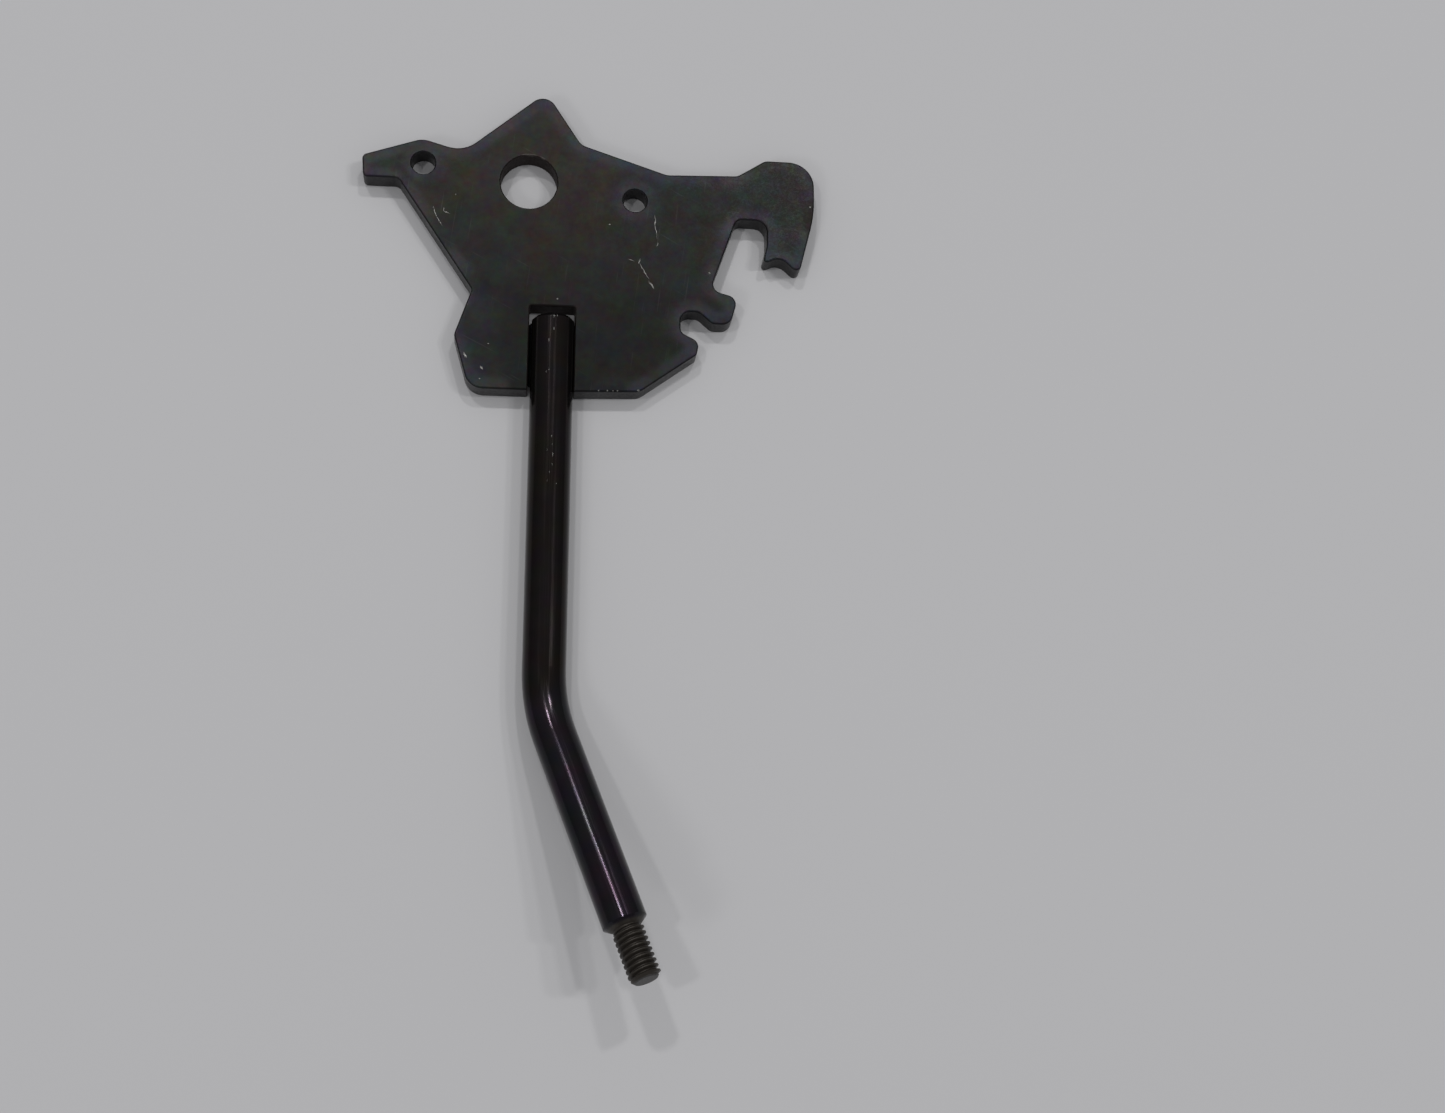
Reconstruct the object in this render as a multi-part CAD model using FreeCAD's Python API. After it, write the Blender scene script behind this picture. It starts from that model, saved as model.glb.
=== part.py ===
import FreeCAD, Part
import math
import os

from FreeCAD import Vector

# Clutch lever: a flat steel lever plate with a bent round bar welded into its slot.
#
# All sizes are millimetres. The origin is the centre of the pivot hole at half the plate's
# thickness. +Z is the plate's normal, +Y points from the bar towards the pivot, and +X
# points towards the hook. The plate is flat, so its outline is given in X and Y only.

INCH = 25.4

# Plate
PLATE_THICKNESS = INCH / 4
EDGE_ROUNDING = 0.5           # rolled edge of the punched upper face
PIVOT_DIAMETER = INCH * 19 / 32
SMALL_HOLE_DIAMETER = INCH / 4
HOLE_CHAMFER = 0.3
LEFT_HOLE = (-28.0, 4.0)      # in the tongue
RIGHT_HOLE = (28.3, -3.9)     # between the pivot and the hook

# Slot in the plate's foot, with the bar close to its right side
BAR_X = 7.35
SLOT_X = 7.1
SLOT_WIDTH = 11.9
SLOT_END_Y = -34.7
SLOT_CORNER_RADIUS = 0.5
FOOT_Y = -58.0

# Bar: straight in the slot, one bend, then a straight section that rises to the right
BAR_DIAMETER = INCH * 7 / 16
BAR_HEIGHT = (BAR_DIAMETER - PLATE_THICKNESS) / 2    # its underside is flush with the plate's
BAR_START_Y = -38.0
BAR_END_CHAMFER = 0.9
BEND_VERTEX_Y = -140.3
BEND_RADIUS = 40.0
SWING_ANGLE = 20.65           # sideways turn of the lower section, in the plate's plane
RISE_ANGLE = 15.0             # climb of the lower section out of the plate's plane
VERTEX_TO_SHOULDER = 61.5     # to the small end of the shoulder's cone
SHOULDER_LENGTH = 1.5

# Stud: 5/16-18 UNC
STUD_DIAMETER = INCH * 5 / 16
THREAD_PITCH = INCH / 18
THREAD_DEPTH = 0.6134 * THREAD_PITCH
STUD_LENGTH = 13.5
STUD_TIP_CHAMFER = 1.1
NECK_LENGTH = 0.9             # plain neck between the shoulder and the first thread
NECK_DIAMETER = STUD_DIAMETER - THREAD_DEPTH

# Groove welds on the underside, one along each side of the slot
BEAD_RADIUS = 1.9
BEAD_OFFSET = 4.7             # from the bar's axis
BEAD_RECESS = 0.25            # of the bead's crest above the plate's lower face
BEAD_FIRST_Y = -40.0
PUDDLE_SPACING = 1.3
PUDDLE_COUNT = 12

# Corner points of the plate's outline, clockwise from above: x, y, corner radius
TONGUE_CORNERS = [
    (-34.4, -0.6, 2.0),
    (-43.6, -0.6, 1.3),
    (-44.1, 5.6, 1.5),
    (-28.5, 11.0, 6.0),
]
UPPER_EDGE_CORNERS = [
    (-17.6, 7.9, 8.0),
    (4.0, 26.3, 3.8),
    (13.7, 11.5, 4.0),
    (36.8, 4.0, 4.0),
    (55.9, 4.7, 3.0),
    (63.3, 9.5, 3.0),
]
HOOK_CORNERS = [
    (76.6, 9.5, 7.0),
    (76.7, -5.5, 35.0),
    (72.5, -22.7, 1.4),
    (67.4, -18.1, 3.5),
    (62.6, -20.3, 0.9),
    (63.8, -15.0, 8.0),
    (63.8, -7.9, 3.2),
    (55.6, -7.9, 2.0),
]
FINGER_CORNERS = [
    (48.7, -28.2, 2.6),
    (56.1, -30.1, 2.6),
    (54.1, -37.8, 3.0),
    (49.3, -37.8, 2.5),
    (45.7, -34.6, 2.5),
]
NOTCH_AND_CHAMFER_CORNERS = [
    (40.8, -34.6, 2.6),
    (40.9, -40.4, 2.0),
    (45.9, -42.9, 2.4),
    (45.2, -46.5, 1.3),
    (30.3, -57.4, 4.0),
]
WAIST_CORNERS = [
    (-14.1, FOOT_Y, 5.0),
    (-18.3, -43.5, 2.5),
    (-14.1, -30.9, 1.2),
]


def slot_corners():
    """Corners of the slot, which is open at the foot."""
    left = SLOT_X - SLOT_WIDTH / 2
    right = SLOT_X + SLOT_WIDTH / 2
    mouth_radius = 0.5
    return [
        (right, FOOT_Y, mouth_radius),
        (right, SLOT_END_Y, SLOT_CORNER_RADIUS),
        (left, SLOT_END_Y, SLOT_CORNER_RADIUS),
        (left, FOOT_Y, mouth_radius),
    ]


def rounded_outline(corners, height):
    """Closed wire of straight sides, with an arc of its own radius at each corner."""
    points = [Vector(x, y, height) for x, y, radius in corners]
    arcs = []
    for index, corner in enumerate(points):
        to_last = (points[index - 1] - corner).normalize()
        to_next = (points[(index + 1) % len(points)] - corner).normalize()
        half_angle = to_last.getAngle(to_next) / 2
        radius = corners[index][2]
        reach = radius / math.tan(half_angle)
        inward = (to_last + to_next).normalize()
        middle = corner + inward * (radius / math.sin(half_angle) - radius)
        arcs.append(Part.Arc(corner + to_last * reach, middle, corner + to_next * reach))
    edges = []
    for index, arc in enumerate(arcs):
        following = arcs[(index + 1) % len(arcs)]
        edges.append(arc.toShape())
        edges.append(Part.LineSegment(arc.EndPoint, following.StartPoint).toShape())
    return Part.Wire(edges)


def edges_at_height(shape, height):
    """Edges of a shape that lie in the plane at the given height."""
    return [
        edge for edge in shape.Edges
        if all(abs(z - height) < 1e-6 for z in (edge.BoundBox.ZMin, edge.BoundBox.ZMax))
    ]


def chamfered_hole(x, y, diameter):
    """Cutting solid for a hole through the plate, with a small chamfer at both mouths."""
    half = PLATE_THICKNESS / 2
    radius = diameter / 2
    profile = [
        (0, -half - 1),
        (radius + HOLE_CHAMFER + 1, -half - 1),
        (radius, -half + HOLE_CHAMFER),
        (radius, half - HOLE_CHAMFER),
        (radius + HOLE_CHAMFER + 1, half + 1),
        (0, half + 1),
    ]
    hole = turned_solid(profile)
    hole.translate(Vector(x, y, 0))
    return hole


def turned_solid(profile):
    """Solid turned about the Z axis from points of (radius, height)."""
    points = [Vector(radius, 0, height) for radius, height in profile]
    face = Part.Face(Part.makePolygon(points + points[:1]))
    return face.revolve(Vector(0, 0, 0), Vector(0, 0, 1), 360)


def make_plate():
    """Flat plate with the tongue, the pivot lobe, the hook, the finger, the notch and the slot."""
    corners = (
        TONGUE_CORNERS + UPPER_EDGE_CORNERS + HOOK_CORNERS + FINGER_CORNERS
        + NOTCH_AND_CHAMFER_CORNERS + slot_corners() + WAIST_CORNERS
    )
    outline = rounded_outline(corners, -PLATE_THICKNESS / 2)
    plate = Part.Face(outline).extrude(Vector(0, 0, PLATE_THICKNESS))
    plate = plate.makeFillet(EDGE_ROUNDING, edges_at_height(plate, PLATE_THICKNESS / 2))
    plate = plate.makeFillet(EDGE_ROUNDING / 2, edges_at_height(plate, -PLATE_THICKNESS / 2))
    plate = plate.cut(chamfered_hole(0, 0, PIVOT_DIAMETER))
    plate = plate.cut(chamfered_hole(*LEFT_HOLE, SMALL_HOLE_DIAMETER))
    plate = plate.cut(chamfered_hole(*RIGHT_HOLE, SMALL_HOLE_DIAMETER))
    return plate


def lower_direction():
    """Direction of the bar's lower section, from the bend to the stud's tip."""
    swing = math.radians(SWING_ANGLE)
    rise = math.radians(RISE_ANGLE)
    return Vector(
        math.sin(swing) * math.cos(rise),
        -math.cos(swing) * math.cos(rise),
        math.sin(rise),
    )


def place_along(shape, start, direction):
    """Move a solid built on +Z so that it starts at a point and runs in a direction."""
    rotation = FreeCAD.Rotation(Vector(0, 0, 1), direction)
    shape.Placement = FreeCAD.Placement(start, rotation)
    return shape


def make_thread_cutter():
    """Helical groove of the stud's thread, on +Z, from the neck to past the tip."""
    radius = STUD_DIAMETER / 2
    overrun = 0.04
    half_root = THREAD_PITCH / 16
    slope = math.tan(math.radians(30))
    half_mouth = half_root + (THREAD_DEPTH + overrun) * slope
    profile = [
        Vector(radius - THREAD_DEPTH, 0, half_root),
        Vector(radius + overrun, 0, half_mouth),
        Vector(radius + overrun, 0, -half_mouth),
        Vector(radius - THREAD_DEPTH, 0, -half_root),
    ]
    section = Part.makePolygon(profile + profile[:1])
    length = STUD_LENGTH - NECK_LENGTH + 2 * THREAD_PITCH
    helix = Part.makeLongHelix(THREAD_PITCH, length, radius, 0)
    groove = Part.Wire(helix.Edges).makePipeShell([section], True, True)
    groove.translate(Vector(0, 0, NECK_LENGTH - THREAD_PITCH / 2))
    return groove


def make_stud_section(length):
    """Lower section of the bar on +Z: plain bar, coned shoulder, neck and threaded stud."""
    bar = BAR_DIAMETER / 2
    stud = STUD_DIAMETER / 2
    neck = NECK_DIAMETER / 2
    tip = length + STUD_LENGTH
    blank = turned_solid([
        (0, 0),
        (bar, 0),
        (bar, length - SHOULDER_LENGTH),
        (neck, length),
        (neck, length + NECK_LENGTH - (stud - neck)),
        (stud, length + NECK_LENGTH),
        (stud, tip - STUD_TIP_CHAMFER),
        (stud - STUD_TIP_CHAMFER, tip),
        (0, tip),
    ])
    groove = make_thread_cutter()
    groove.translate(Vector(0, 0, length))
    return blank.cut(groove)


def make_rod():
    """Bent round bar, from its chamfered end in the slot to the tip of its threaded stud."""
    radius = BAR_DIAMETER / 2
    down = Vector(0, -1, 0)
    lower = lower_direction()
    vertex = Vector(BAR_X, BEND_VERTEX_Y, BAR_HEIGHT)
    turn = down.getAngle(lower)
    reach = BEND_RADIUS * math.tan(turn / 2)
    bend_start = vertex - down * reach
    bend_end = vertex + lower * reach
    inward = (lower - down).normalize()
    bend_middle = vertex + inward * BEND_RADIUS * (1 / math.cos(turn / 2) - 1)

    start = Vector(BAR_X, BAR_START_Y, BAR_HEIGHT)
    upper_length = (bend_start - start).Length
    upper = turned_solid([
        (0, 0),
        (radius - BAR_END_CHAMFER, 0),
        (radius, BAR_END_CHAMFER),
        (radius, upper_length),
        (0, upper_length),
    ])
    upper = place_along(upper, start, down)

    path = Part.Wire([Part.Arc(bend_start, bend_middle, bend_end).toShape()])
    section = Part.Wire([Part.makeCircle(radius, bend_start, down)])
    bend = path.makePipeShell([section], True, False)

    stud = make_stud_section(VERTEX_TO_SHOULDER - reach)
    stud = place_along(stud, bend_end, lower)
    return upper.fuse([bend, stud])


def make_bead_body():
    """Rippled weld bead on +Z: a row of overlapping round puddles of weld metal."""
    half = PUDDLE_SPACING / 2
    cusp = math.sqrt(BEAD_RADIUS ** 2 - half ** 2)
    last = (PUDDLE_COUNT - 1) * PUDDLE_SPACING
    slant = math.sqrt(0.5) * BEAD_RADIUS
    arcs = [Part.Arc(Vector(0, 0, -BEAD_RADIUS), Vector(slant, 0, -slant), Vector(cusp, 0, half))]
    for index in range(1, PUDDLE_COUNT - 1):
        centre = index * PUDDLE_SPACING
        arcs.append(Part.Arc(
            Vector(cusp, 0, centre - half),
            Vector(BEAD_RADIUS, 0, centre),
            Vector(cusp, 0, centre + half),
        ))
    arcs.append(Part.Arc(
        Vector(cusp, 0, last - half),
        Vector(slant, 0, last + slant),
        Vector(0, 0, last + BEAD_RADIUS),
    ))
    edges = [arc.toShape() for arc in arcs]
    axis = Part.LineSegment(Vector(0, 0, last + BEAD_RADIUS), Vector(0, 0, -BEAD_RADIUS))
    face = Part.Face(Part.Wire(edges + [axis.toShape()]))
    return face.revolve(Vector(0, 0, 0), Vector(0, 0, 1), 360)


def make_weld_bead(side, plate, rod):
    """Groove weld on the underside, at side -1 (left) or +1 (right) of the bar."""
    height = -PLATE_THICKNESS / 2 + BEAD_RECESS + BEAD_RADIUS
    start = Vector(BAR_X + side * BEAD_OFFSET, BEAD_FIRST_Y, height)
    bead = place_along(make_bead_body(), start, Vector(0, -1, 0))
    return bead.cut([plate, rod])


def main():
    os.makedirs("parts", exist_ok=True)
    plate = make_plate()
    rod = make_rod()
    pieces = {
        "lever_plate": plate,
        "lever_rod": rod,
        "weld_bead_left": make_weld_bead(-1, plate, rod),
        "weld_bead_right": make_weld_bead(1, plate, rod),
    }
    for name, shape in pieces.items():
        solids = shape.Solids
        box = shape.BoundBox
        print(name, "solids", len(solids), "valid", shape.isValid(), "volume", round(shape.Volume, 1))
        print("   x", round(box.XMin, 2), round(box.XMax, 2), "y", round(box.YMin, 2),
              round(box.YMax, 2), "z", round(box.ZMin, 2), round(box.ZMax, 2))
        if len(solids) == 1:
            shape = solids[0]
        shape.exportStep("parts/" + name + ".step")


main()
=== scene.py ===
import math

import bpy
from mathutils import Matrix, Vector


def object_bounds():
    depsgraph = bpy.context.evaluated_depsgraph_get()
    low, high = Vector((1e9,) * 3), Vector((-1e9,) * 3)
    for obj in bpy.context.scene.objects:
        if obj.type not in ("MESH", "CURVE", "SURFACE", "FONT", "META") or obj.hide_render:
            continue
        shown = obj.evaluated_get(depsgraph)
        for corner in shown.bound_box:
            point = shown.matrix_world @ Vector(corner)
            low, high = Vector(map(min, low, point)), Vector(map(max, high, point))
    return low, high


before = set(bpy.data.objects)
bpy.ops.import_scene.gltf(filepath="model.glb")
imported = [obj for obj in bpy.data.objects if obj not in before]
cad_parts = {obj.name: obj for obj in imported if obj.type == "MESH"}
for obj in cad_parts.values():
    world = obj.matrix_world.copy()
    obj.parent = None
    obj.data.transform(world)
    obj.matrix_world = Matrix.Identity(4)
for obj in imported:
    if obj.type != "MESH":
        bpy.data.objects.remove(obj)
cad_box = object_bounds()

# A welded clutch lever lying on a pale table. Lengths are metres, in the part's own frame:
# the origin is the centre of the pivot hole, +Z is the plate's normal, the bar runs to -Y
# and the hook points to +X.

MM = 0.001

# Camera: half a metre above the bar's end, looking back towards the plate
CAMERA_PLACE = Vector((-0.9, -220.6, 499.6)) * MM
CAMERA_AIM = Vector((52.6, -100.1, 0.0)) * MM
IMAGE_TOP = Vector((-0.005, 1.0, 0.0))
SENSOR_WIDTH = 36.0
LENS = 49.8
NEAREST_SEEN = 0.01

# Light on the table, in watts per square metre, and the ceiling lights that give part of it:
# x and y for each unit of height, width in metres, and share of the light on the table.
# The ceiling and the darker walls give the rest.
TABLE_LIGHT = 2.21
CEILING_HEIGHT = 4.0
CEILING_LIGHTS = {
    "light_far_right": (0.74, 0.07, 0.25, 0.07),
    "light_right": (0.58, 0.07, 0.25, 0.07),
    "light_back_right": (0.24, 0.56, 0.22, 0.12),
    "light_back_left": (-0.26, 0.56, 0.22, 0.13),
    "light_left": (-0.46, -0.03, 0.25, 0.10),
    "light_front_left": (-0.70, -0.72, 0.90, 0.06),
}
CEILING_COLOUR = (0.99, 1.0, 1.02, 1.0)
WALL_COLOUR = (0.50, 0.505, 0.52, 1.0)
ROOM_AVERAGE = 0.83           # light these two colours give, compared with a white room

# Table: a square around the part's middle
TABLE_HALF_SIDE = 4.0
TABLE_GAP = 0.02 * MM         # keeps the table clear of the part's lower face
TABLE_COLOUR = (0.606, 0.602, 0.612, 1.0)
TABLE_ROUGHNESS = 0.6

# Places on the part that wear and tarnish follow
PIVOT_MIDDLE = (0.0, 0.0, 0.0)
PIVOT_RADIUS = 7.54 * MM
SLOT_MIDDLE = Vector((7.1, -46.0, 0.0)) * MM
PLATE_TOP = 3.175 * MM
BEND_CORNER = Vector((7.35, -140.3, 2.38)) * MM    # where the axes of the bar's sections meet
LOWER_TURN = (math.radians(-15.0), 0.0, math.radians(20.65))
SHOULDER = 60.6 * MM                               # from there, along the lower section
STUD_END = 75.0 * MM
CREST_RADIUS = 3.97 * MM

# Finish
PLATING_METALLIC = 0.9
PITTING = 0.01 * MM
SCRATCH_DEPTH = 0.05 * MM
DENT_DEPTH = 0.06 * MM

# Scratches on the plate's face: from x, y to x, y, and width, in millimetres
SCRATCHES = [
    # long scratch beside the hole near the hook
    (33.7, -7.6, 33.8, -11.6, 0.28),
    (33.7, -10.6, 34.4, -14.6, 0.30),
    (34.6, -15.4, 34.3, -16.8, 0.26),
    # forked scratch in the middle
    (26.6, -20.6, 28.4, -21.2, 0.30),
    (29.9, -20.2, 29.5, -21.9, 0.34),
    (29.6, -21.3, 32.5, -26.4, 0.26),
    (32.2, -26.4, 33.8, -28.7, 0.50),
    # two short scratches on the left
    (-25.1, -8.1, -23.9, -11.4, 0.30),
    (-24.0, -11.0, -22.4, -13.7, 0.24),
    (-22.2, -8.2, -22.0, -9.7, 0.28),
    (-22.1, -9.5, -20.4, -10.1, 0.28),
    # nicks near the lower left corner
    (-15.7, -48.4, -14.7, -50.0, 0.60),
    (-11.2, -51.8, -10.5, -53.0, 0.45),
]

# Chips where the plating is knocked off: x, y and width, in millimetres
CHIPS = [
    (19.6, -57.4, 0.45), (21.9, -57.4, 0.50), (23.3, -57.4, 0.35), (24.5, -57.3, 0.40),
    (30.0, -57.0, 0.70), (75.5, -3.3, 0.60), (48.4, -23.5, 0.50), (21.6, -11.0, 0.45),
    (8.4, -32.6, 0.45), (-9.3, -45.7, 0.35), (-11.2, -55.5, 0.35), (-19.2, -4.6, 0.40),
]

# Dent marks along the top of the bar, and a painted highlight where the top of the end's chamfer
# catches the light (the first three, near y -39): x, y and half the mark's length, in millimetres
BAR_DENTS_AND_GLINT = [
    (7.5, -39.0, 0.65), (8.4, -38.8, 0.45), (7.0, -38.8, 0.35), (7.6, -42.5, 0.60),
    (6.4, -45.8, 0.50), (5.9, -54.3, 0.35), (6.5, -53.8, 0.35), (7.6, -71.6, 0.35),
    (7.9, -73.9, 0.30), (8.1, -76.5, 0.50), (6.6, -75.4, 0.30), (8.0, -79.2, 0.30),
    (7.4, -81.2, 0.40), (6.9, -83.6, 0.25), (9.2, -84.1, 0.25),
]

# Sockets of a Mix node for colours, by number because other sockets share their names
MIX_SHARE = 0
MIX_FIRST = 6
MIX_SECOND = 7
MIX_RESULT = 2

# A scale that all but takes one axis away from a distance
FLATTENED = 1000.0


# ---------------------------------------------------------------- shader helpers

class Shader:
    """A new node material, with short ways to add and join its nodes."""

    def __init__(self, name):
        self.material = bpy.data.materials.new(name)
        self.material.use_nodes = True
        self.tree = self.material.node_tree
        self.surface = self.tree.nodes["Principled BSDF"]
        self.place = self.node("ShaderNodeTexCoord").outputs["Object"]

    def node(self, kind, **settings):
        """A new node with some of its settings changed."""
        node = self.tree.nodes.new(kind)
        for name, value in settings.items():
            setattr(node, name, value)
        return node

    def feed(self, socket, value):
        """Join an output to a socket, or set the socket to a constant."""
        if isinstance(value, bpy.types.NodeSocket):
            self.tree.links.new(value, socket)
        else:
            socket.default_value = value

    def math(self, operation, first, second=0.0):
        """Result of a sum, a product or another operation on one or two values."""
        node = self.node("ShaderNodeMath", operation=operation)
        self.feed(node.inputs[0], first)
        self.feed(node.inputs[1], second)
        return node.outputs[0]

    def noise_outputs(self, size, detail=2.0, roughness=0.5, place=None):
        """Outputs of a noise whose features are about size metres across."""
        node = self.node("ShaderNodeTexNoise")
        self.feed(node.inputs["Vector"], place or self.place)
        self.feed(node.inputs["Scale"], 1.0 / size)
        self.feed(node.inputs["Detail"], detail)
        self.feed(node.inputs["Roughness"], roughness)
        return node.outputs

    def noise(self, size, detail=2.0, roughness=0.5, place=None):
        """Noise from 0 to 1 whose features are about size metres across."""
        return self.noise_outputs(size, detail, roughness, place)["Fac"]

    def stretch(self, scale, turn=(0.0, 0.0, 0.0), place=None):
        """Coordinates turned and then scaled, so that noise runs in streaks."""
        turned = self.node("ShaderNodeMapping")
        self.feed(turned.inputs["Vector"], place or self.place)
        self.feed(turned.inputs["Rotation"], turn)
        scaled = self.node("ShaderNodeMapping")
        self.feed(scaled.inputs["Vector"], turned.outputs[0])
        self.feed(scaled.inputs["Scale"], scale)
        return scaled.outputs[0]

    def step(self, value, low, high, bottom=0.0, top=1.0):
        """Smooth step from bottom to top as value goes from low to high."""
        node = self.node("ShaderNodeMapRange", interpolation_type="SMOOTHSTEP")
        for name, number in (
            ("Value", value), ("From Min", low), ("From Max", high),
            ("To Min", bottom), ("To Max", top),
        ):
            self.feed(node.inputs[name], number)
        return node.outputs["Result"]

    def blend(self, share, first, second):
        """Colour between first and second."""
        node = self.node("ShaderNodeMix", data_type="RGBA")
        self.feed(node.inputs[MIX_SHARE], share)
        self.feed(node.inputs[MIX_FIRST], first)
        self.feed(node.inputs[MIX_SECOND], second)
        return node.outputs[MIX_RESULT]

    def coat(self, colour, mask, strength, coating):
        """Colour under a coating that is as strong as strength where the mask is 1."""
        return self.blend(self.math("MULTIPLY", mask, strength), colour, coating)

    def bump(self, height, depth, below=None):
        """Normal of a surface whose height goes from 0 to depth metres."""
        node = self.node("ShaderNodeBump")
        self.feed(node.inputs["Height"], height)
        self.feed(node.inputs["Distance"], depth)
        if below is not None:
            self.feed(node.inputs["Normal"], below)
        return node.outputs[0]

    def edges(self, radius, sharpness=0.8):
        """From 0 on flat faces to 1 on edges that turn sharply within radius."""
        rounded = self.node("ShaderNodeBevel", samples=8)
        self.feed(rounded.inputs["Radius"], radius)
        plain = self.node("ShaderNodeNewGeometry").outputs["Normal"]
        dot = self.node("ShaderNodeVectorMath", operation="DOT_PRODUCT")
        self.feed(dot.inputs[0], rounded.outputs[0])
        self.feed(dot.inputs[1], plain)
        return self.step(dot.outputs["Value"], 1.0, sharpness)

    def parts(self, vector):
        """The x, y and z outputs of a vector."""
        node = self.node("ShaderNodeSeparateXYZ")
        self.feed(node.inputs[0], vector)
        return node.outputs

    def inside(self, origin, turn=(0.0, 0.0, 0.0), scale=(1.0, 1.0, 1.0), place=None):
        """Coordinates measured from an origin, along turned axes and in units of scale."""
        node = self.node("ShaderNodeMapping", vector_type="TEXTURE")
        self.feed(node.inputs["Vector"], place or self.place)
        self.feed(node.inputs["Location"], origin)
        self.feed(node.inputs["Rotation"], turn)
        self.feed(node.inputs["Scale"], scale)
        return node.outputs[0]

    def length(self, vector):
        """Length of a vector."""
        node = self.node("ShaderNodeVectorMath", operation="LENGTH")
        self.feed(node.inputs[0], vector)
        return node.outputs["Value"]

    def absolute(self, value):
        """A value without its sign."""
        return self.math("ABSOLUTE", value)

    def all_of(self, *masks):
        """Product of several masks."""
        whole = masks[0]
        for mask in masks[1:]:
            whole = self.math("MULTIPLY", whole, mask)
        return whole

    def any_of(self, masks):
        """Strongest of several masks."""
        whole = masks[0]
        for mask in masks[1:]:
            whole = self.math("MAXIMUM", whole, mask)
        return whole

    def ragged(self, size, reach):
        """The object's coordinates, pushed about by up to reach so that marks look uneven."""
        push = self.node("ShaderNodeVectorMath", operation="MULTIPLY_ADD")
        self.feed(push.inputs[0], self.noise_outputs(size)["Color"])
        self.feed(push.inputs[1], (2 * reach, 2 * reach, 0.0))
        self.feed(push.inputs[2], (-reach, -reach, 0.0))
        moved = self.node("ShaderNodeVectorMath", operation="ADD")
        self.feed(moved.inputs[0], self.place)
        self.feed(moved.inputs[1], push.outputs[0])
        return moved.outputs[0]

    def dash(self, start_x, start_y, end_x, end_y, width, place):
        """Mask of a thin mark that tapers to both ends; sizes in millimetres."""
        run = math.hypot(end_x - start_x, end_y - start_y)
        angle = math.atan2(end_y - start_y, end_x - start_x)
        middle = ((start_x + end_x) / 2 * MM, (start_y + end_y) / 2 * MM, 0.0)
        scale = (run / 2 * MM, width / 2 * MM, 1.0)
        from_middle = self.length(self.inside(middle, (0.0, 0.0, angle), scale, place))
        return self.step(from_middle, 1.1, 0.5)

    def tint(self, size, share, colour):
        """Overlay a colour with soft patches of unrelated hues, as strong as share."""
        hues = self.noise_outputs(size, 3.0)["Color"]
        node = self.node("ShaderNodeMix", data_type="RGBA", blend_type="OVERLAY")
        self.feed(node.inputs[MIX_SHARE], share)
        self.feed(node.inputs[MIX_FIRST], colour)
        self.feed(node.inputs[MIX_SECOND], hues)
        return node.outputs[MIX_RESULT]


def grey(level, tint=(1.0, 1.0, 1.0)):
    """A grey of the given level, or one leaning to a tint."""
    return tuple(level * part for part in tint) + (1.0,)


# ---------------------------------------------------------------- plate

def plate_tarnish_and_tone(shader, cloud):
    """Brown and green clouds of tarnish; lighter and browner around the pivot hole, darker towards
    the foot, bluer at the foot's left end.
    """
    across, up = shader.parts(shader.place)[:2]
    hub = shader.all_of(
        shader.step(up, -34.0 * MM, 8.0 * MM),
        shader.step(shader.absolute(across), 38.0 * MM, 18.0 * MM),
    )
    foot = shader.step(up, -24.0 * MM, -38.0 * MM)
    heel = shader.all_of(foot, shader.step(across, -2.0 * MM, -12.0 * MM))
    clouded = shader.step(cloud, 0.38, 0.62)
    colour = shader.blend(clouded, grey(0.015, (0.95, 1.04, 0.99)), grey(0.015, (1.08, 1.0, 0.92)))
    colour = shader.coat(colour, hub, 0.75, grey(0.021, (1.12, 1.0, 0.88)))
    colour = shader.coat(colour, foot, 0.6, grey(0.010, (1.0, 1.03, 0.98)))
    return shader.coat(colour, heel, 0.7, grey(0.020, (0.95, 1.0, 1.06)))


def plate_rim(shader, radius, from_slot):
    """Mask of the plate's rim, away from the pivot hole and the slot."""
    return shader.all_of(
        shader.edges(8.0 * MM, 0.95),
        shader.step(shader.noise(16.0 * MM), 0.30, 0.55),
        shader.step(radius, 11.0 * MM, 15.0 * MM),
        shader.any_of([
            shader.step(shader.absolute(from_slot["X"]), 9.0 * MM, 13.0 * MM),
            shader.step(from_slot["Y"], 14.0 * MM, 18.0 * MM),
        ]),
    )


def plate_arc_wear_and_highlight(shader, radius, ragged, face):
    """Mask of the arc on the +Y side of the pivot hole's rim: worn plating, with a painted
    highlight where the rim's edge catches the light.
    """
    return shader.all_of(
        shader.step(radius, PIVOT_RADIUS + 0.6 * MM, PIVOT_RADIUS + 0.25 * MM),
        shader.step(shader.parts(ragged)["Y"], 5.6 * MM, 7.0 * MM),
        face,
        shader.step(shader.noise(2.2 * MM), 0.42, 0.62),
    )


def plate_bore(shader, radius, from_slot):
    """Mask of the walls of the pivot hole and the slot."""
    hole = shader.step(radius, PIVOT_RADIUS + 0.25 * MM, PIVOT_RADIUS + 0.1 * MM)
    slot = shader.all_of(
        shader.step(shader.absolute(from_slot["X"]), 6.3 * MM, 6.1 * MM),
        shader.step(from_slot["Y"], 11.6 * MM, 11.4 * MM),
    )
    return shader.math("MULTIPLY", shader.any_of([hole, slot]), 0.9)


def plate_marks(shader, ragged, face):
    """Mask of the scratches and chips on the plate's upper face."""
    scratches = shader.any_of([shader.dash(*scratch, ragged) for scratch in SCRATCHES])
    chips = shader.any_of([
        shader.dash(x - width / 2, y, x + width / 2, y, width, ragged)
        for x, y, width in CHIPS
    ])
    broken = shader.step(shader.noise(0.7 * MM, 3.0), 0.34, 0.55, 0.25, 1.0)
    return shader.all_of(shader.any_of([scratches, chips]), broken, face)


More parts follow.
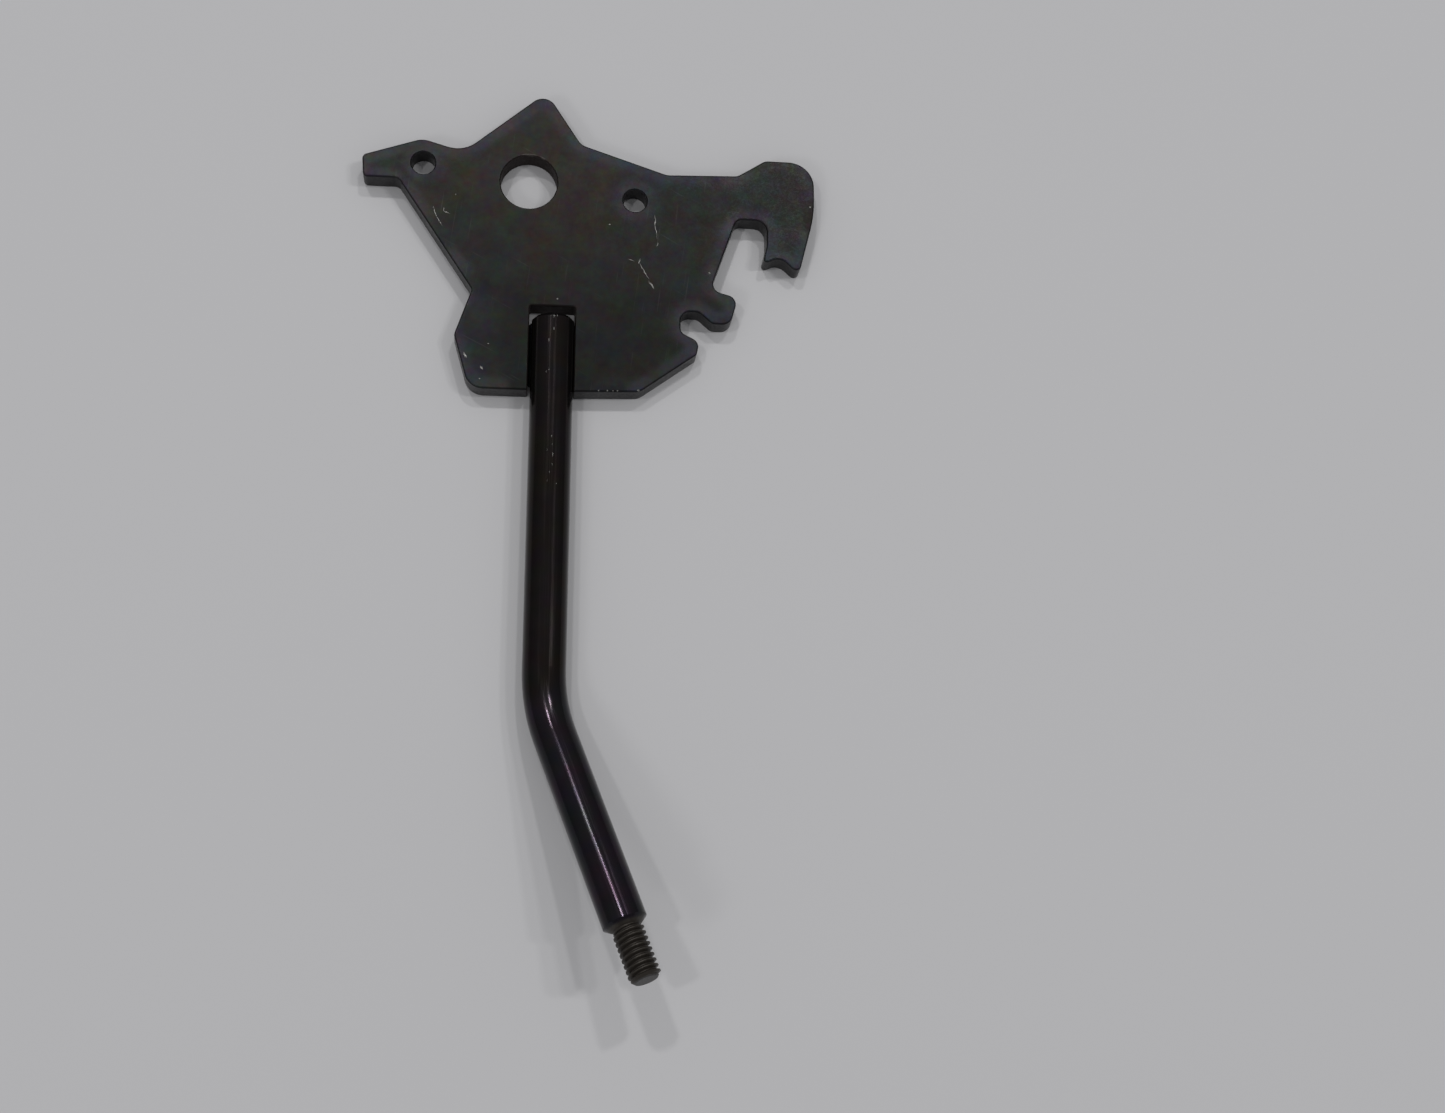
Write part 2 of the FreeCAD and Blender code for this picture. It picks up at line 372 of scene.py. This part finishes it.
def plate_hairlines(shader):
    """Mask of two sets of hairlines that cross each other."""
    along = shader.stretch((1.0, 0.03, 1.0), (0.0, 0.0, 0.12))
    across = shader.stretch((0.04, 1.0, 1.0), (0.0, 0.0, 0.5))
    return shader.any_of([
        shader.step(shader.noise(0.5 * MM, place=along), 0.66, 0.76),
        shader.step(shader.noise(0.6 * MM, place=across), 0.69, 0.78),
    ])


def plate_steel():
    """Black zinc on punched sheet: mottled, bluer at the rim, scratched and chipped."""
    shader = Shader("plate_steel")
    fine = shader.noise(0.8 * MM, 3.0, 0.7)
    cloud = shader.noise(9.0 * MM, 3.0, 0.6)
    ragged = shader.ragged(1.2 * MM, 0.3 * MM)
    radius = shader.length(shader.inside(PIVOT_MIDDLE, scale=(1.0, 1.0, FLATTENED)))
    from_slot = shader.parts(shader.inside(SLOT_MIDDLE))
    facing = shader.parts(shader.node("ShaderNodeNewGeometry").outputs["True Normal"])["Z"]
    wall = shader.step(shader.absolute(facing), 0.75, 0.35)
    height = shader.parts(shader.place)["Z"]
    face = shader.step(height, PLATE_TOP - 0.6 * MM, PLATE_TOP - 0.3 * MM)
    rubbed = shader.step(shader.noise(3.0 * MM, 4.0, 0.7), 0.30, 0.62)
    edge = shader.all_of(shader.edges(0.9 * MM), rubbed)
    rim = plate_rim(shader, radius, from_slot)
    arc = plate_arc_wear_and_highlight(shader, radius, ragged, face)
    bore = plate_bore(shader, radius, from_slot)
    marks = plate_marks(shader, ragged, face)

    # tarnish with a lighter middle and a darker foot, bluish purple towards the rim, finer
    # mottling, then the punched walls
    colour = plate_tarnish_and_tone(shader, cloud)
    colour = shader.coat(colour, rim, 0.72, grey(0.036, (1.0, 0.96, 1.13)))
    colour = shader.tint(6.0 * MM, 0.50, colour)
    colour = shader.tint(1.6 * MM, 0.40, colour)
    colour = shader.blend(wall, colour, grey(0.027, (1.02, 1.0, 1.05)))
    colour = shader.blend(bore, colour, grey(0.027, (1.30, 1.0, 0.92)))

    # plating rubbed thin or broken through, and a painted highlight on the far rim of the pivot
    # hole
    colour = shader.coat(colour, arc, 0.6, grey(0.11, (1.08, 1.0, 0.92)))
    colour = shader.coat(colour, edge, 0.42, grey(0.08, (1.0, 0.98, 1.03)))
    colour = shader.coat(colour, marks, 0.85, grey(0.30, (1.0, 0.98, 0.93)))
    colour = shader.coat(colour, plate_hairlines(shader), 0.10, grey(0.12))
    shader.feed(shader.surface.inputs["Base Color"], colour)
    shader.feed(shader.surface.inputs["Metallic"], PLATING_METALLIC)

    rough = shader.step(fine, 0.3, 0.7, 0.34, 0.46)
    rough = shader.math("ADD", rough, shader.step(cloud, 0.35, 0.65, -0.04, 0.04))
    rough = shader.math("SUBTRACT", rough, shader.math("MULTIPLY", wall, 0.03))
    rough = shader.math("ADD", rough, shader.math("MULTIPLY", bore, 0.30))
    shader.feed(shader.surface.inputs["Roughness"], rough)

    pitted = shader.bump(fine, PITTING)
    waved = shader.bump(shader.noise(4.0 * MM), 0.02 * MM, pitted)
    shader.feed(shader.surface.inputs["Normal"], shader.bump(marks, -SCRATCH_DEPTH, waved))
    return shader.material


# ---------------------------------------------------------------- bar

def bar_plating(shader, on_lower):
    """Brown cast on near black above the bend, violet and blue patches below it."""
    cloud = shader.step(shader.noise(10.0 * MM, 3.0), 0.35, 0.65)
    upper = shader.blend(cloud, grey(0.015, (1.24, 1.0, 0.82)), grey(0.015, (1.16, 0.94, 1.00)))
    lower = shader.blend(cloud, grey(0.022, (1.20, 0.86, 1.20)), grey(0.021, (0.98, 0.98, 1.12)))
    return shader.tint(4.0 * MM, 0.35, shader.blend(on_lower, upper, lower))


def bar_thread(shader, fine, along, radius):
    """Dull brownish thread, with its crests rubbed lighter and a grey end face."""
    crest = shader.all_of(
        shader.step(radius, CREST_RADIUS - 0.35 * MM, CREST_RADIUS - 0.05 * MM),
        shader.step(shader.noise(2.5 * MM, 3.0), 0.40, 0.65),
    )
    end = shader.step(along, STUD_END - 0.4 * MM, STUD_END - 0.1 * MM)
    colour = shader.blend(fine, grey(0.022, (1.24, 1.0, 0.78)), grey(0.035, (1.20, 1.0, 0.82)))
    colour = shader.coat(colour, crest, 0.3, grey(0.080, (1.12, 1.0, 0.84)))
    return shader.blend(end, colour, grey(0.062, (1.03, 1.0, 0.98)))


def bar_lines(shader, lower_place, on_lower):
    """Drawn lines along each of the bar's two straight sections."""
    upper, lower = [
        shader.noise(0.4 * MM, 2.0, 0.6, shader.stretch((1.0, 0.015, 1.0), place=section))
        for section in (shader.place, lower_place)
    ]
    return shader.math(
        "ADD",
        shader.all_of(upper, shader.math("SUBTRACT", 1.0, on_lower)),
        shader.all_of(lower, on_lower),
    )


def bar_dents_and_glint(shader, fine):
    """Mask of the small bright dent marks along the top of the bar, and of the painted highlight
    at the top of the end's chamfer.
    """
    ragged = shader.ragged(1.0 * MM, 0.3 * MM)
    top = shader.step(shader.parts(shader.place)["Z"], 5.5 * MM, 6.5 * MM)
    dents_and_glint = shader.any_of([
        shader.dash(x, y - reach, x, y + reach, 0.6 * reach, ragged)
        for x, y, reach in BAR_DENTS_AND_GLINT
    ])
    return shader.all_of(dents_and_glint, top, shader.step(fine, 0.35, 0.55, 0.3, 1.0))


def bar_steel():
    """Glossy black zinc on drawn bar, dented on top, with a painted highlight at the top of the
    end's chamfer and a dull brownish thread.
    """
    shader = Shader("bar_steel")
    lower_place = shader.inside(BEND_CORNER, LOWER_TURN)
    along = shader.math("MULTIPLY", shader.parts(lower_place)["Y"], -1.0)
    radius = shader.length(shader.inside(BEND_CORNER, LOWER_TURN, (1.0, FLATTENED, 1.0)))
    stud = shader.step(along, SHOULDER - 0.3 * MM, SHOULDER + 0.5 * MM)
    on_lower = shader.step(along, -4.0 * MM, 4.0 * MM)
    fine = shader.noise(0.6 * MM, 3.0, 0.7)
    lines = bar_lines(shader, lower_place, on_lower)
    dents_and_glint = bar_dents_and_glint(shader, fine)
    rubbed = shader.step(shader.noise(2.0 * MM, 3.0), 0.45, 0.65)
    edge = shader.all_of(shader.edges(0.5 * MM), rubbed)

    colour = bar_plating(shader, on_lower)
    colour = shader.blend(stud, colour, bar_thread(shader, fine, along, radius))
    colour = shader.coat(colour, edge, 0.25, grey(0.09, (1.05, 1.0, 0.95)))
    # bright dent marks, and a painted highlight on the top of the end's chamfer
    colour = shader.coat(colour, dents_and_glint, 0.75, grey(0.26, (1.0, 1.0, 0.95)))
    shader.feed(shader.surface.inputs["Base Color"], colour)

    metal = shader.math("SUBTRACT", PLATING_METALLIC, shader.math("MULTIPLY", stud, 0.4))
    shader.feed(shader.surface.inputs["Metallic"], metal)
    rough = shader.step(lines, 0.35, 0.75, 0.12, 0.26)
    rough = shader.math("ADD", rough, shader.math("MULTIPLY", stud, 0.30))
    rough = shader.math("ADD", rough, shader.math("MULTIPLY", dents_and_glint, 0.3))
    shader.feed(shader.surface.inputs["Roughness"], rough)

    drawn = shader.bump(lines, PITTING)
    uneven = shader.bump(fine, 0.4 * PITTING, drawn)
    shader.feed(shader.surface.inputs["Normal"], shader.bump(dents_and_glint, -DENT_DEPTH, uneven))
    return shader.material


# ---------------------------------------------------------------- welds

def weld_metal():
    """Rippled weld bead under black zinc, with heat colours and small pits."""
    shader = Shader("weld_metal")
    fine = shader.noise(0.5 * MM, 3.0, 0.7)
    broad = shader.noise(3.0 * MM, 3.0)
    heated = shader.step(broad, 0.45, 0.65, 0.0, 0.7)
    colour = shader.blend(fine, grey(0.04), grey(0.07, (1.1, 1.0, 0.9)))
    colour = shader.blend(heated, colour, grey(0.06, (0.85, 0.95, 1.25)))
    colour = shader.tint(2.0 * MM, 0.5, colour)
    shader.feed(shader.surface.inputs["Base Color"], colour)
    shader.feed(shader.surface.inputs["Metallic"], PLATING_METALLIC)
    shader.feed(shader.surface.inputs["Roughness"], shader.step(broad, 0.3, 0.7, 0.3, 0.5))
    shader.feed(shader.surface.inputs["Normal"], shader.bump(fine, 0.03 * MM))
    return shader.material


def paint(node_name, material):
    """Give a CAD node one material."""
    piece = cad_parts[node_name]
    piece.data.materials.clear()
    piece.data.materials.append(material)


# ---------------------------------------------------------------- stage

def part_middle():
    """Middle of the box around the part."""
    low, high = cad_box
    return (low + high) / 2


def add_floor():
    """Pale table top that the part lies on."""
    middle = part_middle()
    top = cad_box[0].z - TABLE_GAP
    corners = [
        (middle.x + sx * TABLE_HALF_SIDE, middle.y + sy * TABLE_HALF_SIDE, top)
        for sx, sy in ((-1, -1), (1, -1), (1, 1), (-1, 1))
    ]
    mesh = bpy.data.meshes.new("floor")
    mesh.from_pydata(corners, [], [(0, 1, 2, 3)])
    floor = bpy.data.objects.new("floor", mesh)
    bpy.context.scene.collection.objects.link(floor)
    shader = Shader("table_top")
    shader.feed(shader.surface.inputs["Base Color"], TABLE_COLOUR)
    shader.feed(shader.surface.inputs["Roughness"], TABLE_ROUGHNESS)
    mesh.materials.append(shader.material)


def add_light(name, slope_x, slope_y, width, share):
    """Square ceiling light turned to the part, strong enough to give its share of the light."""
    toward = Vector((slope_x, slope_y, 1.0)) * CEILING_HEIGHT
    distance = toward.length
    data = bpy.data.lights.new(name, "AREA")
    data.size = width
    data.energy = share * TABLE_LIGHT * math.pi * distance ** 3 / CEILING_HEIGHT
    light = bpy.data.objects.new(name, data)
    light.location = part_middle() + toward
    light.rotation_euler = toward.to_track_quat("Z", "Y").to_euler()
    bpy.context.scene.collection.objects.link(light)


def add_camera():
    """Camera that looks from its place to its aim, with IMAGE_TOP upwards in the picture."""
    data = bpy.data.cameras.new("camera")
    data.sensor_width = SENSOR_WIDTH
    data.lens = LENS
    data.clip_start = NEAREST_SEEN
    camera = bpy.data.objects.new("camera", data)
    forward = (CAMERA_AIM - CAMERA_PLACE).normalized()
    right = forward.cross(IMAGE_TOP).normalized()
    up = right.cross(forward)
    turn = Matrix((right, up, -forward)).transposed()
    camera.matrix_world = Matrix.Translation(CAMERA_PLACE) @ turn.to_4x4()
    bpy.context.scene.collection.objects.link(camera)
    bpy.context.scene.camera = camera


def set_world():
    """Light from the room, which gives what the ceiling lights leave."""
    share = 1.0 - sum(numbers[-1] for numbers in CEILING_LIGHTS.values())
    world = bpy.data.worlds.new("studio")
    world.use_nodes = True
    tree = world.node_tree
    background = tree.nodes["Background"]
    direction = tree.nodes.new("ShaderNodeTexCoord")
    parts = tree.nodes.new("ShaderNodeSeparateXYZ")
    colour = tree.nodes.new("ShaderNodeMix")
    colour.data_type = "RGBA"
    colour.inputs[MIX_FIRST].default_value = WALL_COLOUR
    colour.inputs[MIX_SECOND].default_value = CEILING_COLOUR
    tree.links.new(direction.outputs["Generated"], parts.inputs[0])
    tree.links.new(parts.outputs["Z"], colour.inputs[MIX_SHARE])
    tree.links.new(colour.outputs[MIX_RESULT], background.inputs["Color"])
    background.inputs["Strength"].default_value = share * TABLE_LIGHT / math.pi / ROOM_AVERAGE
    bpy.context.scene.world = world
    bpy.context.scene.view_settings.view_transform = "Standard"


add_camera()
set_world()
add_floor()
for light_name, light_numbers in CEILING_LIGHTS.items():
    add_light(light_name, *light_numbers)
paint("lever_plate", plate_steel())
paint("lever_rod", bar_steel())
weld = weld_metal()
paint("weld_bead_left", weld)
paint("weld_bead_right", weld)
